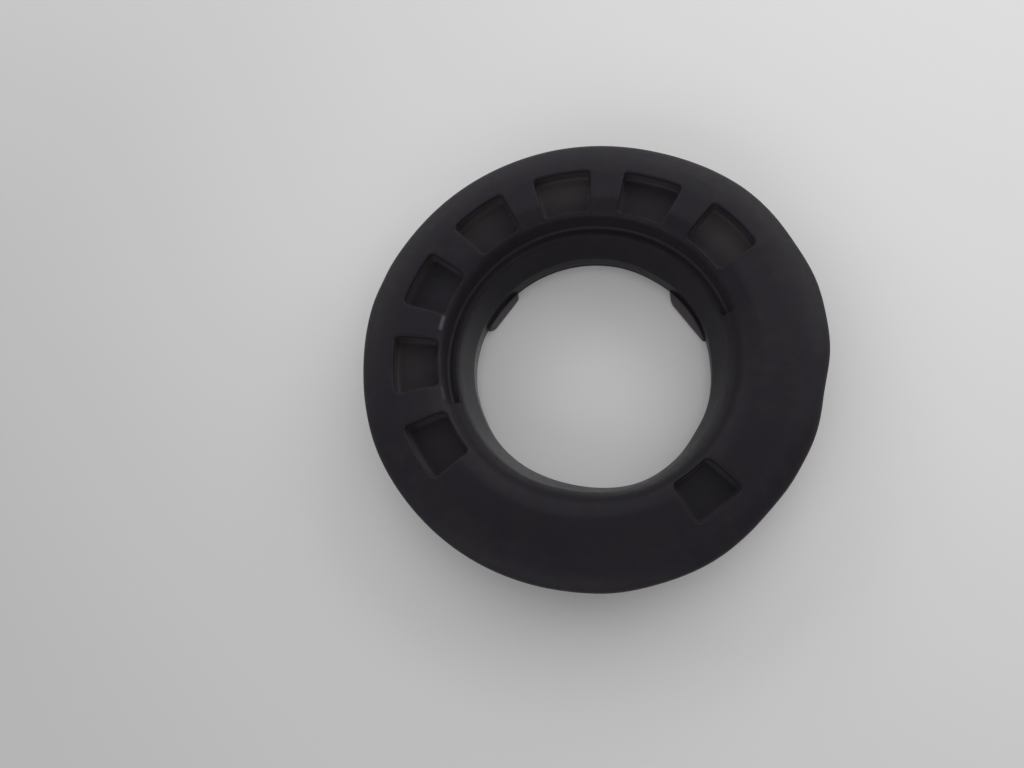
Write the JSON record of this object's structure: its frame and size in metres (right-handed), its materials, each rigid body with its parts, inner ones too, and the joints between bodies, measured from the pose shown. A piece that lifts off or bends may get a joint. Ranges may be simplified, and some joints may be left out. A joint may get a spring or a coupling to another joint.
{
  "type": "coil spring rubber mount",
  "caption": "Round moulded rubber pad that sits between a coil spring's end coil and the vehicle body, with a spring groove below and a pocketed crown above.",
  "frame": {"origin": "on the ring's axis, at the foot of the collar, which it stands on", "axes": "+Z along the ring's axis, from the spring side to the body side; the two bore lugs lie either side of +Y"},
  "size_m": [0.1512, 0.1512, 0.027],
  "materials": {
    "rubber": "satin black moulded rubber, slightly glossy on the bore, with a trace of brown bloom"
  },
  "bodies": {
    "root": {"rubber_mount": "rubber"}
  },
  "joints": []
}
